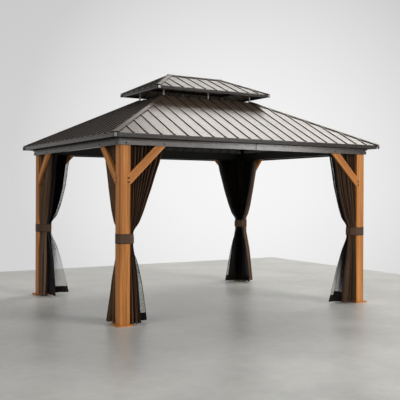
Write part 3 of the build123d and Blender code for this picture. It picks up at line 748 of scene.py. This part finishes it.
def band_path():
    """Even points round the post and the cloth, in post measure, which start and end on the room side."""
    half = BAND_THICKNESS / 2
    room = (WAIST - half + NET_FACE) / 2
    corners = [(room, room), (NET_FACE, WAIST - half), (CURTAIN_FACE, WAIST - half), (-half, POST_WIDE),
               (-half, -half), (POST_WIDE, -half), (WAIST - half, CURTAIN_FACE), (WAIST - half, NET_FACE),
               (room, room)]
    line = np.array(corners)
    lengths = np.concatenate([[0], np.cumsum(np.linalg.norm(np.diff(line, axis=0), axis=1))])
    at = np.linspace(0, lengths[-1], round(lengths[-1] / BAND_STEP) + 1)
    offsets = np.linspace(-BAND_EASE, BAND_EASE, BAND_EASE_STEPS)
    eased = [np.clip(at + d, 0, lengths[-1]) for d in offsets]
    points = [np.mean([np.interp(e, lengths, line[:, k]) for e in eased], axis=0) for k in range(2)]
    return np.array(points).T, lengths[-1]


band_points, band_length = band_path()
print(f"tie band runs {band_length:.3f} m round a post and its cloth")

# %% Tie bands
BAND_TALL = BAND_HIGH - BAND_LOW
BAND_CLOTH = BAND_THICKNESS * 0.8
BAND_ROWS = 12
# The band's value of fold, even all over, so that it takes one fixed share of the cloth finish's painted
# hollow shade
BAND_TONE = -0.22
BAND_STITCH = 0.008
BAND_SEEDS = 900
CREASE, BROAD_CREASE, BAND_PINCH = 0.0016, 0.7, 0.004
# How far past the post's width, and in from its outer faces, the band comes to lie on cloth alone
PAST_POST, FACE_SKIN, FACE_RUN = 0.02, 0.004, 0.05


def tie_band_mesh(name, seed):
    """A grid of cloth laid along the band's path, creased and pinched where it goes round the cloth."""
    rng = np.random.default_rng(seed)
    tangent = np.gradient(band_points, axis=0)
    outward = np.stack([tangent[:, 1], -tangent[:, 0]], axis=1) / np.linalg.norm(tangent, axis=1)[:, None]
    off_post = np.clip((band_points.max(axis=1) - POST_WIDE) / PAST_POST, 0, 1)
    on_cloth = off_post * np.clip((band_points.min(axis=1) - FACE_SKIN) / FACE_RUN, 0, 1)
    level = np.linspace(0, 1, BAND_ROWS + 1)[:, None]
    run = np.linspace(0, band_length, len(band_points))
    fine = np.sin(run * 160 + 3 * level + rng.uniform(0, 6))
    broad = np.sin(run * 75 - 4 * level + rng.uniform(0, 6))
    push = on_cloth * (CREASE * (fine + BROAD_CREASE * broad) - BAND_PINCH * (2 * level - 1) ** 2)
    plan = band_points + outward * push[..., None]
    height = np.broadcast_to(BAND_LOW + level * BAND_TALL, push.shape)
    return cloth_grid(name, plan, height, np.full(push.shape, BAND_TONE), (band_length, BAND_TALL))


tie_cloth = curtain_finish("tie_cloth", BAND_TALL, hem=BAND_STITCH, heading=BAND_STITCH)
for number, corner in enumerate(CORNERS):
    mesh = tie_band_mesh(f"{corner}_tie", BAND_SEEDS + number)
    to_corner(mesh, corner, LONG)
    band = place_piece(mesh.name, mesh, tie_cloth, "tie_cloth", f"{corner}_tie_band")
    thicken(band, BAND_CLOTH)
print(f"{len(CORNERS)} tie bands")

# %% [markdown]
# ## Screws
# Two dark screws hold each brace to its post, and others hold the fascia above every post and brace. A
# head is a small dome, so a short profile is spun round the screw's axis and copied to each place.

# %% Screw head
HEAD_RADIUS, HEAD_HEIGHT, HEAD_STEPS = 0.0095, 0.0045, 14
# From the rim to the crown, as shares of the radius and the height
HEAD_PROFILE = [(1, 0), (1, 0.3), (0.75, 0.75), (0.35, 1), (0, 1.02)]


def screw_head():
    """A domed head with a rim, spun round its axis, as a mesh that stands on the origin."""
    bm = bmesh.new()
    verts = [bm.verts.new((r * HEAD_RADIUS, 0, h * HEAD_HEIGHT)) for r, h in HEAD_PROFILE]
    edges = [bm.edges.new(pair) for pair in zip(verts, verts[1:])]
    bmesh.ops.spin(bm, geom=verts + edges, cent=(0, 0, 0), axis=(0, 0, 1), angle=2 * math.pi,
                   steps=HEAD_STEPS, use_merge=True)
    bmesh.ops.remove_doubles(bm, verts=bm.verts, dist=HEAD_RADIUS / 50)
    bmesh.ops.recalc_face_normals(bm, faces=bm.faces)
    for face in bm.faces:
        face.smooth = True
    mesh = bpy.data.meshes.new("screw_head")
    bm.to_mesh(mesh)
    bm.free()
    return mesh


print(f"screw heads are {2 * HEAD_RADIUS / MM:.0f} mm wide")

# %% Screws
LAP_OUT, FASCIA_OUT = 0.003, 0.020
# Each place is metres along the side from the post's outer corner, and a height
LAP_SCREWS = [(0.098, 1.492), (0.098, 1.536)]
FASCIA_SCREWS = [(0.059, 1.900), (0.502, 1.900)]


def add_screws(mesh_name):
    """Copies of the head on both outer faces at every corner, as one mesh."""
    total, head, count = bmesh.new(), screw_head(), 0
    for sign_x, sign_y in CORNERS.values():
        front_turn = Matrix.Rotation(math.radians(-90) * sign_y, 4, "X")
        end_turn = Matrix.Rotation(math.radians(90) * sign_x, 4, "Y")
        for places, out in ((LAP_SCREWS, LAP_OUT), (FASCIA_SCREWS, FASCIA_OUT)):
            for a, z in places:
                front = Matrix.Translation((sign_x * (POST_OUT_X - a), sign_y * (POST_OUT_Y + out), z))
                end = Matrix.Translation((sign_x * (POST_OUT_X + out), sign_y * (POST_OUT_Y - a), z))
                for matrix in (front @ front_turn, end @ end_turn):
                    copy = head.copy()
                    copy.transform(matrix)
                    total.from_mesh(copy)
                    bpy.data.meshes.remove(copy)
                    count += 1
    mesh = bpy.data.meshes.new(mesh_name)
    total.to_mesh(mesh)
    total.free()
    bpy.data.meshes.remove(head)
    return mesh, count


mesh, count = add_screws("frame_screws")
place_piece("frame_screws", mesh, screw_dark, "beam_bronze")
print(f"{count} screws")

# %% [markdown]
# ## Studio
# The room is pale: a smooth grey concrete floor that ends at two far walls, and walls a little brighter
# than the floor. The walls are only background, so the world's colour stands for them, and the floor
# simply stops where they begin. Overhead the room is darker.

# %% Floor
FLOOR_LOW, FLOOR_HIGH = (-9.0, -9.0), (4.45, 4.35)
FLOOR_DARK, FLOOR_LIGHT = srgb(186, 185, 180), srgb(215, 214, 209)
FLOOR_CLOUD_SCALE, FLOOR_GRAIN_SCALE, FLOOR_CLOUD_SHARE = 0.9, 9, 0.7
# Painted light: the floor is darker towards the front and brighter towards the back; its tone at the front
# and back of this run
FLOOR_PAINTED_LIGHT, FLOOR_PAINTED_LIGHT_RUN = (0.86, 1.28), (-6.5, 2.0)


def floor_finish():
    """Smooth concrete: cloudy, finely mottled, with painted light that darkens it towards the front."""
    finish = Finish("studio_floor", Specular_IOR_Level=0.6)
    place = finish.coords()
    cloud = finish.noise(place, FLOOR_CLOUD_SCALE, 5, 0.6)
    fine = finish.noise(place, FLOOR_GRAIN_SCALE, 5, 0.65)
    tone = finish.weigh(cloud, FLOOR_CLOUD_SHARE, fine)
    concrete = finish.ramp(tone, (0.35, FLOOR_DARK), (0.65, FLOOR_LIGHT))
    # Painted light: darker towards the front, brighter towards the back
    painted_floor_light = finish.span(finish.split(place)["Y"], *FLOOR_PAINTED_LIGHT, *FLOOR_PAINTED_LIGHT_RUN)
    finish.link("Base Color", finish.mix(1.0, concrete, painted_floor_light, "MULTIPLY"))
    finish.link("Roughness", finish.span(tone, 0.32, 0.44, 0.3, 0.7))
    return finish.material


bm = bmesh.new()
bmesh.ops.create_grid(bm, x_segments=1, y_segments=1, size=0.5)
for vert in bm.verts:
    vert.co.x = FLOOR_LOW[0] if vert.co.x < 0 else FLOOR_HIGH[0]
    vert.co.y = FLOOR_LOW[1] if vert.co.y < 0 else FLOOR_HIGH[1]
floor_mesh = bpy.data.meshes.new("studio_floor")
bm.to_mesh(floor_mesh)
bm.free()
floor_mesh.materials.append(floor_finish())
floor = bpy.data.objects.new("studio_floor", floor_mesh)
scene.collection.objects.link(floor)
print("floor laid")

# %% [markdown]
# The world is brightest towards one far corner and darker overhead. What the camera and the mirrors see
# is the full colour of the walls; as a light it is turned down, so that the soft boxes shape the object.

# %% World
WORLD_FILL = 0.70
WALL_BRIGHT = Vector((0.55, 0.83, 0.05)).normalized()
# Grey levels of 255: the walls as they turn to the bright corner, and a shade that deepens with height
WALL_GREYS = ((0.0, 196), (0.80, 198), (0.955, 212), (1.0, 247))
HEIGHT_GREYS = ((0.0, 255), (0.26, 246), (0.50, 150), (1.0, 130))


def grey_ramp(tree, factor, stops):
    """A ramp through levels of grey."""
    return tree.ramp(factor, *((place, srgb(grey, grey, grey)) for place, grey in stops))


world = bpy.data.worlds.new("studio")
scene.world = world
world.use_nodes = True
studio = NodeTree(world.node_tree)
direction = studio.add("ShaderNodeTexCoord").outputs["Generated"]
facing = studio.add("ShaderNodeVectorMath", {0: direction, 1: WALL_BRIGHT}, operation="DOT_PRODUCT")
wall = grey_ramp(studio, facing.outputs["Value"], WALL_GREYS)
shade = grey_ramp(studio, studio.split(direction)["Z"], HEIGHT_GREYS)
path = studio.add("ShaderNodeLightPath").outputs
seen = path["Is Camera Ray"]
for mirror_ray in ("Is Glossy Ray", "Is Transmission Ray"):
    seen = studio.math("MAXIMUM", seen, path[mirror_ray])
background = world.node_tree.nodes["Background"]
studio.fill(background.inputs["Color"], studio.mix(1.0, wall, shade, "MULTIPLY"))
studio.fill(background.inputs["Strength"], studio.span(seen, WORLD_FILL, 1.0))
print("world set")

# %% [markdown]
# ## Lights
# Four soft boxes: one high behind on the right, which the front roof slopes mirror; a broad key at the
# front right, low enough to light the posts; a small one at the height of the beams, whose reflection
# lies on the middle of the front fascia; and a weak fill from the left.

# %% Lights
NEAR_WHITE = (0.99, 0.99, 0.96)


def soft_box(name, place, aim, size, power, tint=WHITE, roll=0.0):
    """A rectangular lamp at a place, pointed at its aim; size in metres, power in watts, roll in degrees."""
    data = bpy.data.lights.new(name, "AREA")
    data.shape = "RECTANGLE"
    data.size, data.size_y = size
    data.energy, data.color = power, tint
    lamp = bpy.data.objects.new(name, data)
    scene.collection.objects.link(lamp)
    lamp.location = place
    lamp.rotation_mode = "QUATERNION"
    turn = (Vector(aim) - Vector(place)).to_track_quat("-Z", "Y")
    lamp.rotation_quaternion = turn @ Quaternion((0, 0, 1), math.radians(roll))


soft_box("roof_light", (6.5, 3.3, 8.8), (0, -1.2, 2.1), (8.0, 3.4), 570, NEAR_WHITE, roll=24)
soft_box("front_key", (7.2, -16.0, 6.6), (0, 0, 1.0), (8.4, 5.6), 1500)
soft_box("fascia_glow", (5.2, -8.3, 2.3), (0.25, -1.5, 1.9), (1.7, 1.4), 90)
soft_box("left_fill", (-9.8, -4.0, 9.0), (-1.0, 0, 1.6), (7.2, 4.8), 350)
print("4 soft boxes")
